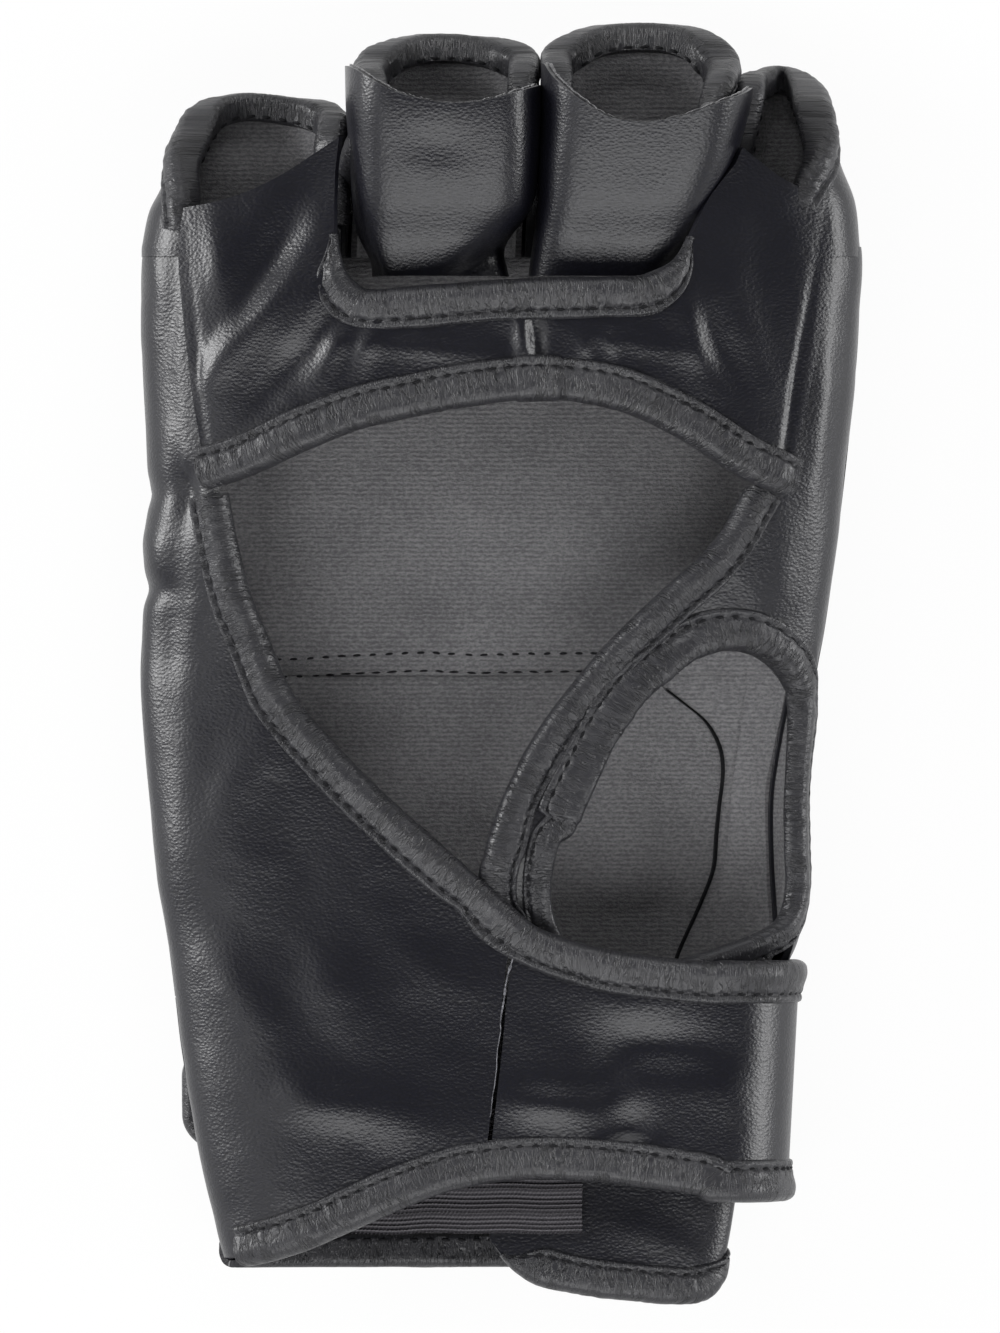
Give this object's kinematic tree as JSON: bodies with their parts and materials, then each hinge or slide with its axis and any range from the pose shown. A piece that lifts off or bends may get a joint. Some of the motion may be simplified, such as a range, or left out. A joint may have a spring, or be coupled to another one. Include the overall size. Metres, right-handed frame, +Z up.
{
  "type": "mixed martial arts glove",
  "caption": "Open-palm padded grappling glove for the right hand, palm up, with open finger tubes, thumb hole, palm opening and a wrap-round wrist strap.",
  "frame": {"origin": "middle of the glove's bounding box, on the surface that it lies on", "axes": "+Y runs from the wrist to the fingers, +X to the thumb side, +Z up out of the open palm"},
  "size_m": [0.1219, 0.2157, 0.0434],
  "materials": {
    "leather": "semi-gloss pebbled",
    "tape": "semi-gloss, wrinkled",
    "lining": "fine ribbed knit",
    "foam": "matte closed-cell foam",
    "elastic": "ribbed woven elastic",
    "hook_and_loop": "matte hook and loop tape"
  },
  "bodies": {
    "hand": {"knuckle_cover": "leather", "knuckle_foam": "foam", "knuckle_lining": "lining", "back_cover": "leather", "back_foam": "foam", "back_lining": "lining", "thumb_lining": "lining", "ulnar_panel": "leather", "ulnar_lining": "lining", "ulnar_binding": "tape", "cuff_binding": "tape", "thumb_side_panel": "leather", "thenar_binding": "tape", "thumb_hole_binding": "tape", "palm_bridge": "leather", "arc_binding": "tape", "notch_binding": "tape", "back_cuff": "leather", "cuff_lining": "lining", "back_cuff_binding": "tape", "inner_flap": "leather", "inner_flap_binding": "tape", "elastic_band": "elastic", "cuff_loop_patch": "hook_and_loop"},
    "fingers": {"pinky_cover": "leather", "pinky_foam": "foam", "pinky_lining": "lining", "pinky_binding": "tape", "ring_cover": "leather", "ring_foam": "foam", "ring_lining": "lining", "ring_binding": "tape", "middle_cover": "leather", "middle_foam": "foam", "middle_lining": "lining", "middle_binding": "tape", "index_cover": "leather", "index_foam": "foam", "index_lining": "lining", "index_binding": "tape", "ring_loop": "leather", "middle_loop": "leather"},
    "strap": {"strap_panel": "leather", "strap_upper_binding": "tape", "strap_lower_binding": "tape"},
    "strap_end": {"strap_tail": "leather", "strap_tail_binding": "tape", "strap_hook_patch": "hook_and_loop"}
  },
  "joints": [
    {"name": "finger_curl", "type": "hinge", "parent": "hand", "child": "fingers", "pos_m": [0, 0.06964, 0.03], "axis": [1, 0, 0], "range_deg": [0, 45], "stiffness_Nm_per_rad": 0.3, "deforming": ["palm_bridge", "notch_binding"]},
    {"name": "strap_swing", "type": "hinge", "parent": "hand", "child": "strap", "pos_m": [0, -0.0652, 0.0296], "axis": [-0.113, -0.9936, 0], "range_deg": [0, 35.2]},
    {"name": "strap_peel", "type": "hinge", "parent": "strap", "child": "strap_end", "pos_m": [0.0509, -0.0703, 0.0148], "axis": [-0.0531, -0.9986, 0], "range_deg": [0, 160]}
  ],
  "couplings": [
    {"joint": "strap_swing", "follows": "strap_peel", "ratio": 0.22}
  ]
}
